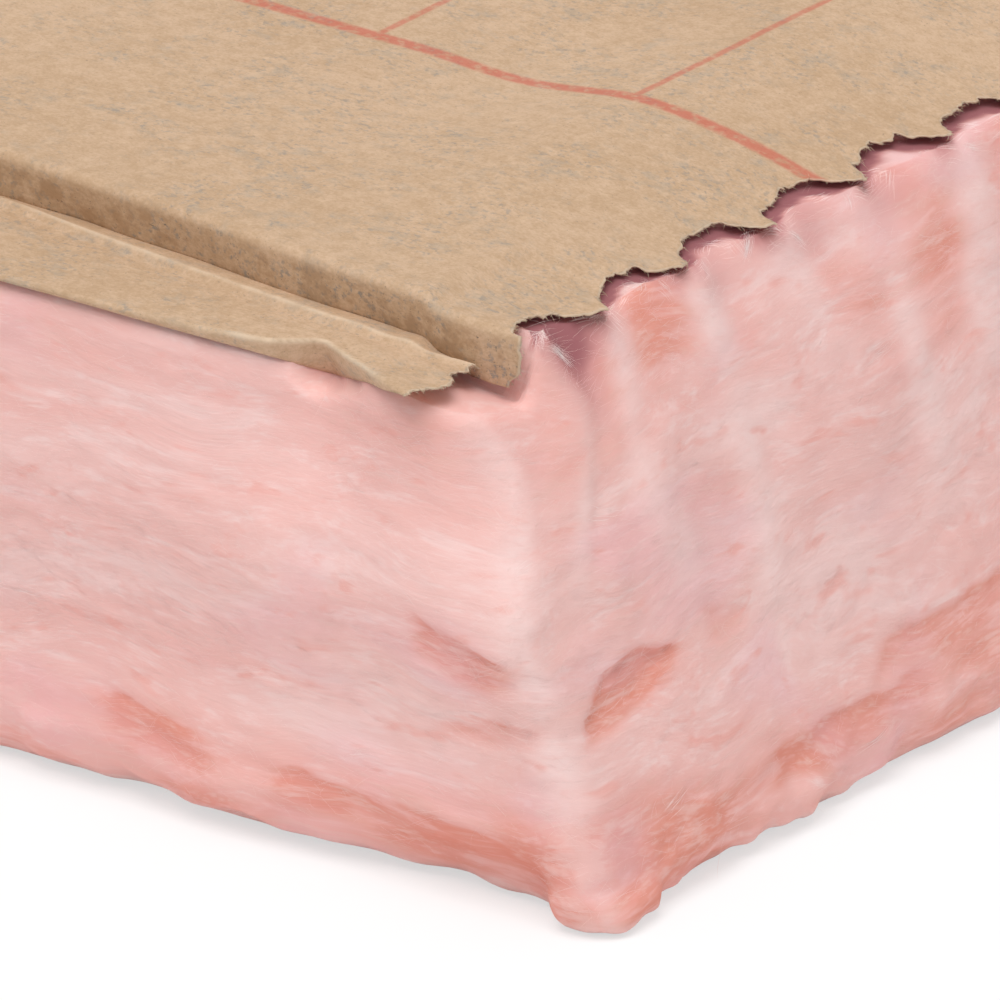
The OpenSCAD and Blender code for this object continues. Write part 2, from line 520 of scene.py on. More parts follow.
# torn layers: face, start and end along it, upper edge and lower edge at both, slant of the start, depth
pockets = [
    ("end", -171.0, -156.5, 42.3, 39.3, 33.2, 35.2, -6.9, 1.25),
    ("end", -147.5, -139.0, 41.5, 40.0, 35.0, 36.0, 0.0, 0.4),
    ("end", -136.0, -100.0, 15.5, 16.0, 10.5, 11.0, -3.0, 0.45),
    ("end", -108.0, -70.0, 22.5, 25.0, 18.0, 20.5, -3.0, 0.45),
    ("side", 1175.0, 1191.0, 53.0, 48.0, 46.0, 42.5, -2.0, 1.0),
    ("side", 1178.0, 1195.0, 35.5, 38.0, 31.5, 34.5, -2.0, 0.55),
    ("side", 1116.0, 1132.0, 21.5, 17.5, 14.5, 12.0, -2.0, 0.5),
    ("side", 1148.0, 1189.0, 17.5, 14.0, 9.5, 7.5, -4.0, 0.4),
]


def woolTop(x, y, blur=0.0):
    # under the panel, and one step lower under the pleats and tabs
    inside = endX - abs(x)
    rollY = edgeY - facing["tab"]
    blur += 7 * smooth(-2, 4, abs(x) - endX)
    step = facing["roll"] + facing["gap"] + facing["creaseDrop"] + wool["clear"]
    under = smooth(rollY - 4.4 - blur, rollY - 2.8 + blur, abs(y - drift(x, y)))
    sunk = wool["sunk"] + wool["sunkMore"] * smooth(14, 34, inside)
    sunk -= wool["tabLift"] * smooth(edgeY - 16, edgeY - 8, abs(y)) * smooth(36, 60, inside)
    if x > 0 and y < 0:
        sunk += wool["faceRoom"] * smooth(20, 0, endX - x) * under     # for the end of the pleat's face
    y -= drift(x, y)
    return topZ - sunk - step * under + drape(x, y) + min(0.0, crumple(x, y))


def pocketDepth(kind, along, z):
    # a crisp upper edge where the layer above overhangs, and soft ends
    total = 0.0
    for face, start, end, topStart, topEnd, lowStart, lowEnd, slant, depth in pockets:
        if face != kind or not start - 12 < along < end + 8:
            continue
        share = (along - start) / (end - start)
        high = topStart + (topEnd - topStart) * share + 1.1 * wave(along / 5, start, 1.5)
        low = lowStart + (lowEnd - lowStart) * share + 1.6 * wave(along / 6, start, 7.5)
        begin = start + slant * (high - z) / max(high - low, 1) + 1.5 * wave(z / 2, start, 3.5)
        mask = smooth(-0.5, 1.0, high - z) * smooth(-3.5, 3.0, z - low)
        mask *= smooth(-2.0, 2.5, along - begin) * smooth(5, -5, along - end + 3 * wave(z / 3, end, 2.5))
        streaks = 0.95 + 0.45 * wave(along / 7, z / 1.7, start) + 0.35 * wave(along / 3, z / 3, start, 2)
        total = max(total, depth * mask * max(0.0, streaks))
    return total


def edgeRadius(x, y, z):
    # the resting edge's radius, tighter by the near corner, goes over to the upper edge's
    corner = smooth(30, 8, endX - x) * smooth(30, 8, y + edgeY)
    radius = wool["lowRadius"] * (1 + 0.35 * wave(x / 23, y / 23, 0, 5.5)) * (1 - 0.36 * corner)
    radius *= 1 - 0.3 * smooth(60, 20, endX - x)
    return radius + (wool["highRadius"] - radius) * smooth(0.2, 0.7, z / topZ)


def softBlock(x, y, z, radius, corner):
    # a block with round upright edges and round top and bottom edges: place and outward direction
    u, w = endX - abs(x), edgeY - abs(y)
    dx, dy = corner - u, corner - w
    p = Vector((x, y, z))
    if dx > 0 and dy > 0:
        length = math.hypot(dx, dy)
        share = max(dx, dy) / length
        p.x = math.copysign(endX - corner + dx * share, x)
        p.y = math.copysign(edgeY - corner + dy * share, y)
        out = Vector((math.copysign(dx / length, x), math.copysign(dy / length, y), 0))
    else:
        out = Vector((math.copysign(1, x), 0, 0)) if u < w else Vector((0, math.copysign(1, y), 0))
    up = Vector((0, 0, 1 if z > topZ / 2 else -1))
    a = radius - min(u, w)
    b = radius - min(z, topZ - z)
    if a > 0 and b > 0:
        length = math.hypot(a, b)
        share = 1 - max(a, b) / length
        return p - out * a * share - up * b * share, (out * a + up * b) / length
    return p, (up if b > a else out)


def caveAt(x, y, z, cut):
    # hollows under the torn edge, and a deep one in the gap beside the near pleat; the same share also sets
    # painted shade in them
    cave = smooth(77, 85, z) * cut * max(0.0, 0.1 + 0.9 * wave(y / 11, 0, 3, 41.0))
    if x > 0:
        cave += 0.9 * smooth(68, 84, z) * cut * bell(y - wool["gapPlace"], wool["gapSpread"])
    return cave


def insetAt(p, z, nearCorner):
    # how far the side goes in, also under the bent edge of the near tab
    topInset, lowInset = wool["sideInset"]
    inset = topInset + lowInset * smooth(64, 22, z)
    if nearCorner:
        past = p.x - endX
        height = z * woolTop(p.x, p.y, wool["fade"]) / topZ
        bent = bentWidth(-past)
        rim = tabHeight(p.x) - stripOf(bent) * math.sin(math.radians(facing["bend"]))
        inset += sideTop(-past) * smooth(42, 72, height)
        inset = max(inset, (1.31 * bent + 0.4) * smooth(rim - 3, rim - 0.3, height))
        inset += wool["waist"] * smooth(17, 3, z) * smooth(15, 8, past) * smooth(-36, -6, past)
    return inset


def nubAt(p, z):
    reach, spread, height = wool["nub"]
    nub = reach * smooth(height, 3, z) * bell(p.y + edgeY - wool["nubPlace"], spread)
    return nub * smooth(endX + 2, endX + 16, p.x)


def seamAt(p, z, ends, seed):
    # the dip along the torn edge of the panel, with painted shade along it
    if abs(p.y) >= edgeY - facing["tab"]:
        return 0.0
    tooth = sum(toothReach(p.y + away, seed) for away in (-4, -2, 0, 2, 4)) / 5
    beyond = abs(p.x) - endX - facing["tipReach"] - tooth + 1.6 * wave(p.x / 4, p.y / 4, z / 4, 71.0)
    return smooth(-4.0, -2.0, beyond) * smooth(3.4, 0.2, beyond) * smooth(76, 85, z) * ends


def makeWool(material):
    fine = wool["fine"]
    xPlaces = [2 * endX - d for d in graded(2 * endX, fine, 130, 1.12, 26, 2.5)][::-1]
    yPlaces = graded(2 * edgeY, fine, 125, 1.1, 4.2, 2.2)
    zPlaces = graded(topZ, fine, 200, 1.0, fine, fine)
    counts = [len(xPlaces) - 1, len(yPlaces) - 1, len(zPlaces) - 1]
    block = bmesh.new()
    bmesh.ops.create_cube(block, size=2)
    for axis in range(3):
        across = [e for e in block.edges if abs(e.verts[0].co[axis] - e.verts[1].co[axis]) > 1]
        bmesh.ops.subdivide_edges(block, edges=across, cuts=counts[axis] - 1, use_grid_fill=True)

    def step(v, axis):
        return round((v.co[axis] + 1) / 2 * counts[axis])

    # the hidden top and the resting face need few rows
    idle = []
    for e in block.edges:
        a, b = e.verts
        if abs(a.co.z) < 0.999 or abs(b.co.z) < 0.999 or step(a, 1) != step(b, 1):
            continue
        row = step(a, 1)
        columns = (step(a, 0), step(b, 0))
        plain = abs(yPlaces[row] - edgeY) < (148 if a.co.z > 0 else 180)    # the top steps down by the pleats
        if row % 14 and plain and min(columns) > 8 and max(columns) < counts[0] - 16:
            idle.append(e)
    bmesh.ops.dissolve_edges(block, edges=idle, use_verts=True)

    depthLayer = block.verts.layers.float.new("recess")
    crestHighlightLayer = block.verts.layers.float.new("crest")
    caveShadeLayer = block.verts.layers.float.new("cave")
    for v in block.verts:
        x = xPlaces[step(v, 0)] - endX
        y = yPlaces[step(v, 1)] - edgeY
        z = zPlaces[step(v, 2)]
        inX, inY = endX - abs(x), edgeY - abs(y)
        onTop = v.co.z > 0.999
        nearCorner = x > 0 and y < 0
        # soft edges
        p, n = softBlock(x, y, z, edgeRadius(x, y, z), cornerRadius(z))
        z = p.z
        outX = smooth(0.3, 0.8, abs(n.x))
        outY = smooth(0.3, 0.8, abs(n.y))
        side = max(outX, outY)
        nearEnd = smooth(150, 110, y + edgeY) if x > 0 else 0.0
        fineShare = max(nearEnd * outX, smooth(160, 120, endX - x) * outY * (y < 0))
        # lumps, pulled layers and roughness
        lump = wool["lump"] * wave(p.x / 46, p.y / 46, z / 30, 1.0)
        layer = wool["layer"] * wave(p.x / 34, p.y / 34, z / 4.2, 6.0)
        layer += 0.5 * wool["layer"] * wave(p.x / 13, p.y / 13, z / 2.2, 11.0) * fineShare
        rough = wool["rough"] * wave(p.x / 5, p.y / 5, z / 3, 17.0) * fineShare
        puff = wool["puff"] * wave(p.x / 12, p.y / 10, z / 12, 27.0) * outX * smooth(20, 50, z)
        foot = wave(p.x / 11, p.y / 11, z / 8, 23.0) + 0.6 * wave(p.x / 4.6, p.y / 4.6, z / 4, 25.0)
        foot *= wool["foot"] * smooth(20, 4, z)
        move = (lump + layer + rough + puff + foot) * side
        p += n * move
        # the ends past the paper, with flutes, and caves under its edge
        ends = smooth(70, 8, inX)
        place = (p.y - facing["tip"] + 7 * wave(z / 32, p.y / 30, 4)) / facing["pitch"]
        crest = (0.5 + 0.5 * math.cos(2 * math.pi * place)) ** 3
        crestShare = smooth(26, 58, z) * outX * ends * max(0.0, 0.5 + 1.6 * wave(p.y / 24, z / 20, 13))
        crestShare *= smooth(edgeY - 6, edgeY - 26, abs(p.y))
        flute = wool["flute"] * (crest - 0.3) * crestShare
        cut = max(outX, smooth(9, 2, inX) * smooth(80, 86, z))      # the end face and its upper edge
        cave = caveAt(x, p.y, z, cut)
        reach = (endReach(z) + 1.2 * wave(p.y / 30, z / 24, 7, 2.0)) * ends - wool["cave"] * cave
        p.x += reach + flute if x > 0 else -reach - flute
        # the side under the tab, the foot of the near corner, and pockets
        p.y -= math.copysign(insetAt(p, z, nearCorner), p.y) * smooth(40, 10, inY)
        nub = nubAt(p, z)
        p += Vector((nub, -0.2 * nub, 0))
        pocket = 0.0
        if nearCorner:
            pocket = max(pocketDepth("end", p.y, z) * outX, pocketDepth("side", p.x, z) * outY)
            p -= n * pocket
        # up to the paper, with a dip along its torn edge
        z = z + n.z * move
        seam = seamAt(p, z, ends, 0.0 if x > 0 else farSeed)
        top = woolTop(p.x, p.y) - wool["dip"] * seam
        if onTop:
            z = top
        else:
            sharp = smooth(66, 85, z)
            z *= (top * sharp + woolTop(p.x, p.y, wool["fade"]) * (1 - sharp)) / topZ
        p.z = max(z, 0.0)
        # what the material reads: salmon depths, painted shade in the flute hollows and in the caves under
        # the paper, and painted highlights on the crests and corners
        # painted shade: salmon in the hollows between the flutes on the upper end face
        hollowShade = (1 - crest) * smooth(50, 66, z) * outX * (0.12 + 0.5 * wave(p.y / 14, z / 12, 5, 31.0))
        hollowShade *= smooth(edgeY - 12, edgeY - 34, abs(p.y))
        low = smooth(24, 13, z) * (1 + wave(p.x / 20, p.y / 20, z / 6)) * smooth(0.5, 4, z)
        nearLow = 1.7 * smooth(20, 8, z) * smooth(60, 25, p.y + edgeY)
        low += nearLow * smooth(endX, endX + 12, p.x) * smooth(-2, 6, z)
        shade = 0.8 * pocket - layer * 0.4 - lump * 0.06 + 0.28 * low + max(0.0, hollowShade)
        shade += 0.1 * smooth(52, 74, z) * side
        # painted highlight along the upright corners
        cornerHighlight = bell(max(inX, inY), 5) * (0.7 + 0.9 * wave(x / 9, y / 9, z / 6, 3))
        # painted shade under the paper: the top of the end face, the caves and the dip along the torn edge
        dark = cut * (0.08 * smooth(76, 86, z) + 0.6 * cave) + seam * (1 - 0.6 * outX)
        v[depthLayer] = min(1.0, max(0.0, shade))
        v[caveShadeLayer] = min(1.0, dark)
        # painted highlight on the flute crests and the upright corners
        v[crestHighlightLayer] = crest * min(1.0, crestShare) * smooth(89, 80, z) + max(0.0, cornerHighlight) * side
        v.co = p * mm
    piece = pieceFrom(block, "glass_wool_blanket", material)
    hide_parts("glass_wool_batt")
    return piece


# loose fibres: thin closed strands, eight points each, joined into a few meshes
fuzz = {
    "endCount": 15500, "sideCount": 15500, "restCount": 8000,
    "length": (2.0, 5.5), "radius": (0.008, 0.016), "lift": 0.06, "scatter": 0.3, "bend": 0.28,
    "endRun": -40, "sideRun": 125,      # how far the near end and the near side are dressed finely
    "farSize": 2.2, "footShare": 0.4,   # longer strands elsewhere, and fewer of them low down
}
strandShares = (0, 0.33, 0.67, 1.0)     # the four points along each strand


def unit(v):
    return v / np.maximum(np.linalg.norm(v, axis=1, keepdims=True), 1e-9)


def surfaceOf(piece):
    # triangles of a piece in millimetres, with their middles, areas and normals
    mesh = piece.data
    mesh.calc_loop_triangles()
    points = np.empty(len(mesh.vertices) * 3)
    mesh.vertices.foreach_get("co", points)
    corners = np.empty(len(mesh.loop_triangles) * 3, dtype=np.int64)
    mesh.loop_triangles.foreach_get("vertices", corners)
    triangles = points.reshape(-1, 3)[corners].reshape(-1, 3, 3) / mm
    cross = np.cross(triangles[:, 1] - triangles[:, 0], triangles[:, 2] - triangles[:, 0])
    area = np.linalg.norm(cross, axis=1) / 2
    return triangles, triangles.mean(axis=1), area, unit(cross)


def scatter(triangles, weight, count, chance):
    share = weight / weight.sum()
    picked = chance.choice(len(triangles), count, p=share)
    a, b, c = (triangles[picked, k] for k in range(3))
    u = chance.random((count, 1))
    w = chance.random((count, 1))
    over = (u + w) > 1
    u = np.where(over, 1 - u, u)
    w = np.where(over, 1 - w, w)
    return a + (b - a) * u + (c - a) * w, picked


def strandMesh(name, line, radius, material, normals=None):
    # line holds four points for each strand, in millimetres; normals are those of the wool below
    count = len(line)
    rings = []
    for k in (1, 2):
        along = unit(line[:, k + 1] - line[:, k - 1])
        side = unit(np.cross(along, np.array([0.31, 0.47, 0.83])))
        other = np.cross(along, side)
        for turn in (0, 1, 2):
            angle = turn * 2 * math.pi / 3
            rings.append(line[:, k] + radius[:, None] * (math.cos(angle) * side + math.sin(angle) * other))
    points = np.stack([line[:, 0], *rings, line[:, 3]], axis=1)
    shape = []
    for k in range(3):
        n = (k + 1) % 3
        shape += [(0, 1 + n, 1 + k), (1 + k, 1 + n, 4 + n), (1 + k, 4 + n, 4 + k), (4 + k, 4 + n, 7)]
    faces = (np.array(shape)[None] + 8 * np.arange(count)[:, None, None]).reshape(-1, 3)
    mesh = bpy.data.meshes.new(name)
    mesh.from_pydata((points.reshape(-1, 3) * mm).tolist(), [], faces.tolist())
    mesh.shade_smooth()
    piece = newObject(name, mesh, material)
    if normals is not None:
        mesh.normals_split_custom_set_from_vertices(np.repeat(normals, 8, axis=0).tolist())
        piece.visible_shadow = False       # glass fibres this thin let the light through
    return piece


def lieOn(roots, normals, chance, size=1.0):
    # strands that follow the layers, with a little scatter and lift
    count = len(roots)
    flat = np.where(np.abs(normals[:, :1]) > np.abs(normals[:, 1:2]), [[0.0, 1.0, 0.0]], [[1.0, 0.0, 0.0]])
    swirl = np.array([wave(p[0] / 16, p[1] / 16, p[2] / 9, 30) for p in roots])
    flat[:, 2] += swirl * 0.35 + chance.normal(0, fuzz["scatter"], count)
    flat *= np.where(chance.random((count, 1)) < 0.5, -1, 1)
    along = unit(flat - normals * np.sum(flat * normals, axis=1, keepdims=True))
    lift = np.abs(chance.normal(0, fuzz["lift"], (count, 1)))
    length = chance.uniform(*fuzz["length"], (count, 1)) * size
    bend = chance.normal(0, fuzz["bend"], (count, 3))
    share = np.array(strandShares)[None, :, None]
    start = roots - normals * 0.15
    go = (along + normals * lift)[:, None] * length[:, None] * share
    turn = bend[:, None] * length[:, None] * share * share
    sink = -normals[:, None] * (lift * length * 0.55)[:, None] * share ** 2
    return start[:, None] + go + turn + sink


def keepUnder(line):
    # lowers the points that would come through the paper
    high = np.argwhere((line[:, :, 2] > 70) & (np.abs(line[:, :, 0]) < endX + 2))
    for strand, k in high:
        x, y, z = line[strand, k]
        line[strand, k, 2] = min(z, woolTop(x, y) + 0.2)


def makeFuzz(piece, material):
    chance = np.random.default_rng(7)
    triangles, middle, area, normals = surfaceOf(piece)
    clear = (normals[:, 2] > -0.3) & (middle[:, 2] > 5)      # none where a strand would stand off the foot
    bare = clear & (np.abs(normals[:, 2]) < 0.75) & (middle[:, 2] < 77)
    nearEnd = clear & (middle[:, 0] > endX - 10) & (normals[:, 0] > 0.35) & (middle[:, 1] < fuzz["endRun"])
    nearSide = bare & (middle[:, 0] > endX - fuzz["sideRun"]) & (normals[:, 1] < -0.35)
    rest = bare & ~nearEnd & ~nearSide
    thinned = np.where(middle[:, 2] < 26, fuzz["footShare"], 1.0)
    made = []
    for name, chosen, count, size in (("fibre_fuzz_end", nearEnd, fuzz["endCount"], 1.0),
                                      ("fibre_fuzz_side", nearSide, fuzz["sideCount"], 1.0),
                                      ("fibre_fuzz_far", rest, fuzz["restCount"], fuzz["farSize"])):
        roots, picked = scatter(triangles, area * chosen * thinned, count, chance)
        line = lieOn(roots, normals[picked], chance, size)
        line[:, :, 2] = np.maximum(line[:, :, 2], 0.1)
        keepUnder(line)
        radius = chance.uniform(*fuzz["radius"], count) * size
        made.append(strandMesh(name, line, radius, material, normals=normals[picked]))
    return made


# wisps: bundles of pale fibres that lie on the wool, and short ones along the torn paper
wisps = {
    "endCount": 5, "sideCount": 4, "strands": 8, "length": (4.0, 9.0), "radius": (0.010, 0.022),
    "spread": 0.6, "lift": 0.12, "endTilt": 14,
    "seamCount": 60, "seamRun": (-178, -40), "seamTurn": 50, "seamLength": (2, 5), "seamStrands": 9,
    "seamSpread": 0.9,
}
# tufts under the torn edge: Y, height, length, turn from level in degrees, strands, spread
tufts = [
    (-166.0, 83.5, 7.0, -20, 50, 0.35), (-168.0, 86.0, 5.0, 10, 24, 0.5), (-119.0, 83.0, 6.0, 30, 40, 0.45),
    (-108.0, 83.5, 5.0, -30, 20, 0.5), (-66.0, 83.0, 5.0, -30, 20, 0.5),
]


def bundle(tree, root, turn, length, count, spread, chance):
    # strands that leave one spot on the wool side by side and follow its surface
    spot, normal = tree.find_nearest(Vector(root))[:2]
    level = Vector((-normal.y, normal.x, 0)).normalized()
    rise = normal.cross(level)
    angle = math.radians(turn)
    along = level * math.cos(angle) + rise * math.sin(angle)
    across = normal.cross(along)
    sway = chance.normal(0, 0.25)
    lines = []
    for k in range(count):
        aside = chance.normal(0, spread)
        start = chance.normal(0, length * 0.12)
        reach = length * chance.uniform(0.55, 1.0)
        splay = chance.normal(0, 0.08)
        lift = abs(chance.normal(0, wisps["lift"]))
        line = []
        for share in strandShares:
            away = aside + reach * (splay * share + sway * share * share)
            place = spot + along * (start + reach * share) + across * away
            ground, facingOut = tree.find_nearest(place)[:2]
            line.append(ground + facingOut * (lift * math.sin(math.pi * min(share, 0.8)) + 0.03))
        lines.append((line, normal))
    return lines


def makeWisps(piece, material):
    chance = np.random.default_rng(11)
    triangles, middle, area, normals = surfaceOf(piece)
    tree = bvhtree.BVHTree.FromPolygons([v.co / mm for v in piece.data.vertices],
                                        [f.vertices for f in piece.data.polygons])
    bare = (middle[:, 2] > 3) & (middle[:, 2] < 80)
    nearEnd = bare & (normals[:, 0] > 0.4) & (middle[:, 1] < fuzz["endRun"])
    nearSide = bare & (normals[:, 1] < -0.4) & (middle[:, 0] > endX - fuzz["sideRun"])
    lines = []
    for chosen, count, tilt in ((nearEnd, wisps["endCount"], wisps["endTilt"]),
                                (nearSide, wisps["sideCount"], 0)):
        for root in scatter(triangles, area * chosen, count, chance)[0]:
            turn = tilt + chance.normal(0, 16) + 180 * (chance.random() < 0.5)
            length = chance.uniform(*wisps["length"])
            lines += bundle(tree, root, turn, length, wisps["strands"], wisps["spread"], chance)
    for y, z, length, turn, count, spread in tufts:
        lines += bundle(tree, (endX + endReach(z), y, z), turn, length, count, spread, chance)
    for k in range(wisps["seamCount"]):
        root = (endX + 5, chance.uniform(*wisps["seamRun"]), 87)
        turn = chance.normal(0, wisps["seamTurn"])
        length = chance.uniform(*wisps["seamLength"])
        lines += bundle(tree, root, turn, length, wisps["seamStrands"], wisps["seamSpread"], chance)
    line = np.array([points for points, normal in lines])
    keepUnder(line)
    radius = chance.uniform(*wisps["radius"], len(line))
    under = np.array([normal for points, normal in lines])
    return strandMesh("fibre_wisps", line, radius, material, normals=under)


# short torn fibres along the cut ends of the paper
fringe = {"each": 3, "length": (0.3, 1.3), "radius": (0.02, 0.04), "splay": 0.55, "curl": 0.4, "hang": -0.2}


def makeFringe(sheetPiece, material):
    chance = np.random.default_rng(5)
    mesh = sheetPiece.data
    inside = np.array([d.value for d in mesh.attributes["tear"].data])
    points = np.array([v.co for v in mesh.vertices]) / mm
    roots = np.repeat(points[inside < 0.01], fringe["each"], axis=0)
    count = len(roots)
    outwards = np.concatenate([np.sign(roots[:, :1]), np.zeros((count, 2))], axis=1)
    heading = outwards + chance.normal(0, fringe["splay"], (count, 3)) * [1, 1, 0.5]
    length = chance.uniform(*fringe["length"], (count, 1)) * chance.random((count, 1))
    curl = chance.normal(0, fringe["curl"], (count, 3)) + [0, 0, fringe["hang"]]
    share = np.array(strandShares)[None, :, None]
    start = roots - heading * 0.15 + chance.normal(0, 0.12, (count, 3)) * [0, 1, 0]
    line = start[:, None] + unit(heading)[:, None] * length[:, None] * share
    line = line + curl[:, None] * length[:, None] * share ** 2
    radius = chance.uniform(*fringe["radius"], count)
    return strandMesh("paper_fringe", line, radius, material)


# kraft paper, with plain ruled lines on the panel in millimetres
kraft = {
    "dark": (0.476, 0.315, 0.19, 1), "light": (0.602, 0.42, 0.282, 1), "pale": (0.68, 0.485, 0.322, 1),
    "smudge": (0.36, 0.31, 0.25, 1), "fleck": (0.23, 0.225, 0.21, 1), "speck": (0.19, 0.15, 0.11, 1),
    # the pleat colour is painted shade for the pleat's face
    "pleat": (0.37, 0.215, 0.11, 1), "rubbed_highlight": (0.76, 0.60, 0.44, 1), "torn": (0.70, 0.58, 0.44, 1),
    "ink": (0.52, 0.10, 0.065, 1),
}
ruled = {"longPlace": 95.5, "firstCross": 1097.0, "pitch": 47.3, "panelEdge": 150}


def kraftMaterial():
    g = Graph(bpy.data.materials.new("kraft_paper"))
    x, y = g.axes()
    cloud = g.noise(g.place((0.02, 0.02, 0.02)), 3)
    mottle = g.noise(g.place((0.36, 0.42, 0.4)), 4, 0.6)
    grain = g.noise(g.place((1.6, 2.4, 2.2)), 3, 0.65)
    tone = cloud * 0.22 + mottle * 0.36 + grain * 0.42
    colour = g.mix(tone.between(0.36, 0.64), kraft["dark"], kraft["light"])
    # blue grey flecks and smudges in loose clusters, and dark specks; on the pleat's face more flecks and
    # specks as painted shade
    pleat_face_shade = g.attribute("pleat_face_shade")
    cluster = g.noise(g.place((0.085, 0.085, 0.085), shift=(4, 7, 0)), 3, 0.6)
    fleck = g.noise(g.place((0.85, 1.1, 0.95), turn=(0, 0, 0.5)), 4, 0.62)
    smudge = g.noise(g.place((0.22, 0.28, 0.26), turn=(0, 0, 0.4), shift=(2, 5, 0)), 4, 0.65)
    speck = g.noise(g.place((2.2, 2.5, 2.3), shift=(1, 3, 6)), 2, 0.6)
    gathered = cluster.between(0.40, 0.60)
    colour = g.mix(smudge.between(0.48, 0.66) * gathered * 0.4, colour, kraft["smudge"])
    colour = g.mix(fleck.between(0.52, 0.66) * (gathered + pleat_face_shade * 0.8) * 0.46, colour, kraft["fleck"])
    colour = g.mix(speck.between(0.64, 0.74) * (0.5 + pleat_face_shade * 0.5), colour, kraft["speck"])
    # painted shade: the pleat's face mixed towards dark brown
    colour = g.mix(pleat_face_shade * smudge.between(0.44, 0.62) * 0.6, colour, kraft["pleat"])
    pale = g.noise(g.place((0.5, 0.7, 0.6), turn=(0, 0, -0.8), shift=(6, 1, 0)), 3)
    colour = g.mix(pale.between(0.56, 0.72) * 0.3, colour, kraft["pale"])
    # plain red ruled lines on the panel
    panel = abs(y).between(ruled["panelEdge"], ruled["panelEdge"] - 2)
    wear = g.noise(g.place((0.7, 0.7, 0.7)), 3).between(0.3, 0.55, 0.45, 1.0)
    longLine = abs(abs(y) - ruled["longPlace"]).between(1.9, 0.8)
    cross = abs(((x - ruled["firstCross"]) / ruled["pitch"] + 40.5).math("FRACT") - 0.5) * ruled["pitch"]
    crossLine = cross.between(0.95, 0.35) * abs(y).between(ruled["longPlace"] + 0.4, ruled["longPlace"])
    ink = longLine.math("MAXIMUM", crossLine * 0.85) * panel * wear
    colour = g.mix(ink * 0.68, colour, kraft["ink"])
    # creases and the bent edge's hinge paler, partly rubbed fibres and partly painted highlight on their
    # ridges, and pale fibres where the sheet is torn
    wear_and_highlight = g.attribute("wear_and_highlight") * g.noise(g.place((0.25, 0.25, 0.25)), 2).between(0.3, 0.6, 0.5, 1.0)
    colour = g.mix(wear_and_highlight * 0.55, colour, kraft["rubbed_highlight"])
    torn = g.attribute("tear").between(0.55, 0.1)
    colour = g.mix(torn * 0.5, colour, kraft["torn"])
    relief = grain * 0.6 + mottle
    bump = g.make("ShaderNodeBump", {}, {"Strength": 0.3, "Distance": 0.0002, "Height": relief})
    return g.finish(Base_Color=colour, Roughness=0.8, Normal=bump, Specular_IOR_Level=0.25)


# glass wool, from pale crests, partly painted highlight, down to salmon layers, and the dull mauve of the
# painted shade under the paper
pinks = {
    "pink": (0.84, 0.585, 0.555, 1), "deep": (0.80, 0.44, 0.40, 1), "salmon": (0.72, 0.29, 0.225, 1),
    "patch": (0.80, 0.46, 0.49, 1), "fleck": (0.79, 0.36, 0.31, 1), "pale": (0.86, 0.68, 0.655, 1),
    # mauve and dark are painted shade for the wool under the paper
    "painted_shade_mauve": (0.58, 0.27, 0.26, 1), "dark": (0.34, 0.13, 0.14, 1),
}


def woolMaterial():
    g = Graph(bpy.data.materials.new("glass_wool"))
    # layers that run level through the blanket and sway, from broad bands down to single fibres
    sway = g.noise(g.place((0.03, 0.03, 0.045)), 1.0, out=1)
    sway = g.make("ShaderNodeVectorMath", {"operation": "SUBTRACT"}, [sway, (0.5, 0.5, 0.5)])
    sway = g.make("ShaderNodeVectorMath", {"operation": "MULTIPLY"}, [sway, (0.03, 0.03, 0.013)])
    here = g.make("ShaderNodeTexCoord", {}, {}, "Object")
    here = g.make("ShaderNodeVectorMath", {"operation": "ADD"}, [here, sway])

    def strata(length, height, shift, detail, rough=0.5):
        size = (1000 / length, 1000 / length, 1000 / height)
        where = g.make("ShaderNodeMapping", {"vector_type": "POINT"},
                       {"Vector": here, "Location": shift, "Scale": size})
        return g.noise(where, detail, rough)

    bands = strata(48, 10, (0, 0, 0), 2)
    streak = strata(17, 2.8, (3, 1, 5), 3)
    tangle = strata(6.5, 1.7, (5, 8, 2), 3, 0.6)
    fibre = strata(3.2, 0.6, (7, 2, 1), 3, 0.6)
    patch = strata(30, 22, (9, 2, 4), 1)
    fleck = strata(9, 3.2, (2, 6, 3), 2, 0.6)
    recess = g.attribute("recess")
    crest = g.attribute("crest")
    cave = g.attribute("cave")
    depth = recess * (streak * 0.9 + 0.13) + bands * 0.42 + streak * 0.36
    # the crests, with their painted highlight, are a little paler
    depth = depth + tangle * 0.46 + fibre * 0.32 - crest * 0.06
    colour = g.mix(depth.between(0.64, 0.92), pinks["pink"], pinks["deep"])
    colour = g.mix(depth.between(0.87, 1.13), colour, pinks["salmon"])
    colour = g.mix(patch.between(0.52, 0.72) * 0.4, colour, pinks["patch"])
    colour = g.mix(fleck.between(0.58, 0.74) * 0.6, colour, pinks["fleck"])
    # pale streaks, with painted highlight on the flute crests and the upright corners
    pale = (streak * 0.3 + tangle * 0.3 + fibre * 0.25 + crest * 0.16).between(0.39, 0.55)
    colour = g.mix(pale * 0.4, colour, pinks["pale"])
    # painted shade where the paper keeps the light off, mauve and then darker
    colour = g.mix(cave.between(0, 0.7), colour, pinks["painted_shade_mauve"])
    colour = g.mix(cave.between(0.45, 1.0), colour, pinks["dark"])
    relief = streak + tangle * 0.6 + fibre * 0.5
    bump = g.make("ShaderNodeBump", {}, {"Strength": 0.25, "Distance": 0.0006, "Height": relief})
    g.find("BSDF_PRINCIPLED").subsurface_method = "BURLEY"
    return g.finish(Base_Color=colour, Roughness=1.0, Normal=bump, Specular_IOR_Level=0.1,
                    Subsurface_Weight=0.4, Subsurface_Radius=(1.0, 0.7, 0.65), Subsurface_Scale=0.005)


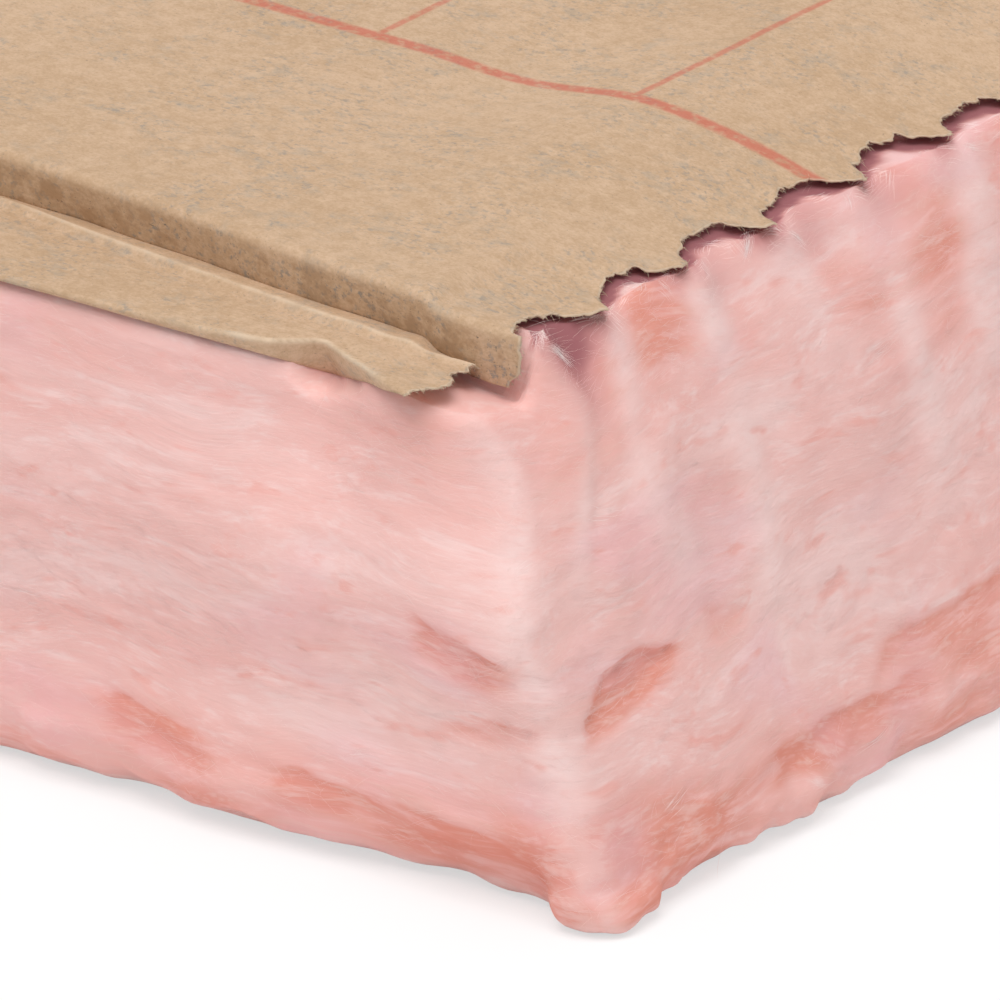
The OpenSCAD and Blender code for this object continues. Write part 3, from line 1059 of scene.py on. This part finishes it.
# the strands: patterns per millimetre, two tones, roughness and specular level
strandLooks = {
    "loose_fibre": ((0.12, 0.12, 0.3), (0.86, 0.57, 0.54, 1), (0.88, 0.66, 0.63, 1), 0.9, 0.2),
    "pulled_fibre": ((0.4, 0.4, 0.4), (0.94, 0.70, 0.67, 1), (0.96, 0.80, 0.78, 1), 0.8, 0.3),
    "torn_paper_fibre": ((1.2, 1.2, 1.2), (0.50, 0.36, 0.23, 1), (0.72, 0.60, 0.46, 1), 0.9, 0.2),
}


def strandMaterial(name):
    pattern, dark, light, rough, specular = strandLooks[name]
    g = Graph(bpy.data.materials.new(name))
    tone = g.noise(g.place(pattern), 2)
    colour = g.mix(tone.between(0.35, 0.65), dark, light)
    return g.finish(Base_Color=colour, Roughness=rough, Specular_IOR_Level=specular)


kraftPaper = kraftMaterial()
glassWool = woolMaterial()
looseFibre, pulledFibre, tornFibre = (strandMaterial(name) for name in strandLooks)
print("materials are made")
woolPiece = makeWool(glassWool)
print("wool has", len(woolPiece.data.polygons), "faces")
facingPiece = makeFacing(kraftPaper)
print("facing has", len(facingPiece.data.polygons), "faces")
fuzzPieces = makeFuzz(woolPiece, looseFibre)
wispPiece = makeWisps(woolPiece, pulledFibre)
fringePiece = makeFringe(facingPiece, tornFibre)
strandFaces = sum(len(o.data.polygons) for o in [*fuzzPieces, wispPiece, fringePiece])
print("loose fibres have", strandFaces, "faces")


# a pale floor that keeps the shadow, a white surround and soft light
stage = {"floor": (0.9, 0.9, 0.9, 1), "floorSize": 40, "floorGlow": 0.6, "white": (1, 1, 1, 1), "sky": 0.5,
         "key": 2.2, "keyElevation": 68, "keyAzimuth": 20, "keySoftness": 40}

floorMesh = bpy.data.meshes.new("floor")
floorShape = bmesh.new()
bmesh.ops.create_grid(floorShape, x_segments=1, y_segments=1, size=stage["floorSize"])
floorShape.to_mesh(floorMesh)
floorShape.free()
floor = bpy.data.objects.new("floor", floorMesh)
bpy.context.scene.collection.objects.link(floor)
f = Graph(bpy.data.materials.new("floor"))
floorMesh.materials.append(f.finish(Base_Color=stage["floor"], Roughness=1.0, Specular_IOR_Level=0.0))
matt = Wire(f, f.find("BSDF_PRINCIPLED").outputs[0])
glow = f.make("ShaderNodeEmission", {}, {"Color": stage["white"], "Strength": 1.0})
blend = f.make("ShaderNodeMixShader", {}, [f.seen() * stage["floorGlow"], matt, glow])
f.put(f.find("OUTPUT_MATERIAL").inputs["Surface"], blend)

world = bpy.data.worlds.new("studio")
bpy.context.scene.world = world
w = Graph(world)
background = w.find("BACKGROUND")
level = w.make("ShaderNodeMapRange", {}, {"Value": w.seen(), "To Min": stage["sky"], "To Max": 1.0})
w.put(background.inputs["Strength"], level)
w.put(background.inputs["Color"], stage["white"])

keyData = bpy.data.lights.new("key", "SUN")
keyData.energy = stage["key"]
keyData.angle = math.radians(stage["keySoftness"])
keyObject = bpy.data.objects.new("key", keyData)
keyFrom = direction(stage["keyAzimuth"], stage["keyElevation"])
keyObject.rotation_euler = (-keyFrom).to_track_quat("-Z", "Y").to_euler()
bpy.context.scene.collection.objects.link(keyObject)
bpy.context.scene.view_settings.view_transform = "Standard"
print("stage is set")
